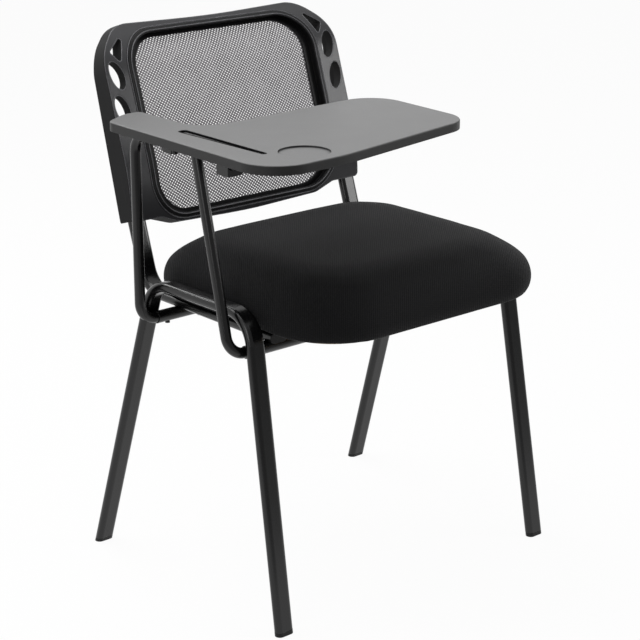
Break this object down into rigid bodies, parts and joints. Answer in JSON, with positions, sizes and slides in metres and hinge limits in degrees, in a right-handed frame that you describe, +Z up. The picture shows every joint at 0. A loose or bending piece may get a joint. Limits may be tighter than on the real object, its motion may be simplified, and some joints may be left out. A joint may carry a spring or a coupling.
{
  "type": "tablet arm chair",
  "caption": "Stackable visitor chair on bent oval-tube legs with a padded seat, a mesh back in a moulded frame and a fold-up writing tablet on the sitter's right arm.",
  "frame": {"origin": "on the floor, under the middle of the chair's bounding box", "axes": "+Z up, -Y the way the sitter faces, -X the sitter's right, where the tablet is"},
  "size_m": [0.614, 0.581, 0.8164],
  "materials": {
    "black_powder_coat": "satin black powder coat",
    "black_moulding": "black moulded plastic",
    "back_moulding": "fine-grained charcoal moulded plastic",
    "back_mesh": "see-through knitted mesh",
    "seat_fabric": "black ribbed upholstery fabric",
    "seat_plywood": "plywood",
    "zinc_steel": "zinc-plated steel",
    "bumper_rubber": "black rubber",
    "tablet_moulding": "grey fine-grained moulded plastic"
  },
  "bodies": {
    "chair_frame": {"side_frame_right": "black_powder_coat", "side_frame_left": "black_powder_coat", "front_cross_tube": "black_powder_coat", "rear_cross_tube": "black_powder_coat", "back_post_right": "black_powder_coat", "back_post_left": "black_powder_coat", "arm_tube": "black_powder_coat", "arm_strut": "black_powder_coat", "tablet_rest_plate": "black_powder_coat", "hinge_block_front": "black_powder_coat", "hinge_block_rear": "black_powder_coat", "foot_cap_front_right": "black_moulding", "foot_cap_front_left": "black_moulding", "foot_cap_rear_right": "black_moulding", "foot_cap_rear_left": "black_moulding", "cross_tube_plugs": "black_moulding", "post_plugs": "black_moulding", "arm_end_cap": "black_moulding", "back_frame": "back_moulding", "mesh_carrier": "back_moulding", "mesh_retainer": "back_moulding", "back_mesh": "back_mesh", "seat_cushion": "seat_fabric", "seat_board": "seat_plywood", "seat_tee_nuts": "zinc_steel", "seat_bolts": "zinc_steel", "seat_washers": "zinc_steel", "carrier_screws": "zinc_steel", "back_screws": "zinc_steel", "arm_bolts": "zinc_steel", "arm_nuts": "zinc_steel", "rest_bumpers": "bumper_rubber"},
    "tablet": {"tablet_top": "tablet_moulding", "hinge_leaf_front": "black_powder_coat", "hinge_leaf_rear": "black_powder_coat", "hinge_pin_front": "zinc_steel", "hinge_pin_rear": "zinc_steel", "hinge_pin_clips": "zinc_steel", "leaf_screws": "zinc_steel"}
  },
  "joints": [
    {"name": "tablet_fold", "type": "hinge", "parent": "chair_frame", "child": "tablet", "pos_m": [-0.2856, -0.0978, 0.692], "axis": [0, -1, 0], "range_deg": [0, 105]}
  ]
}
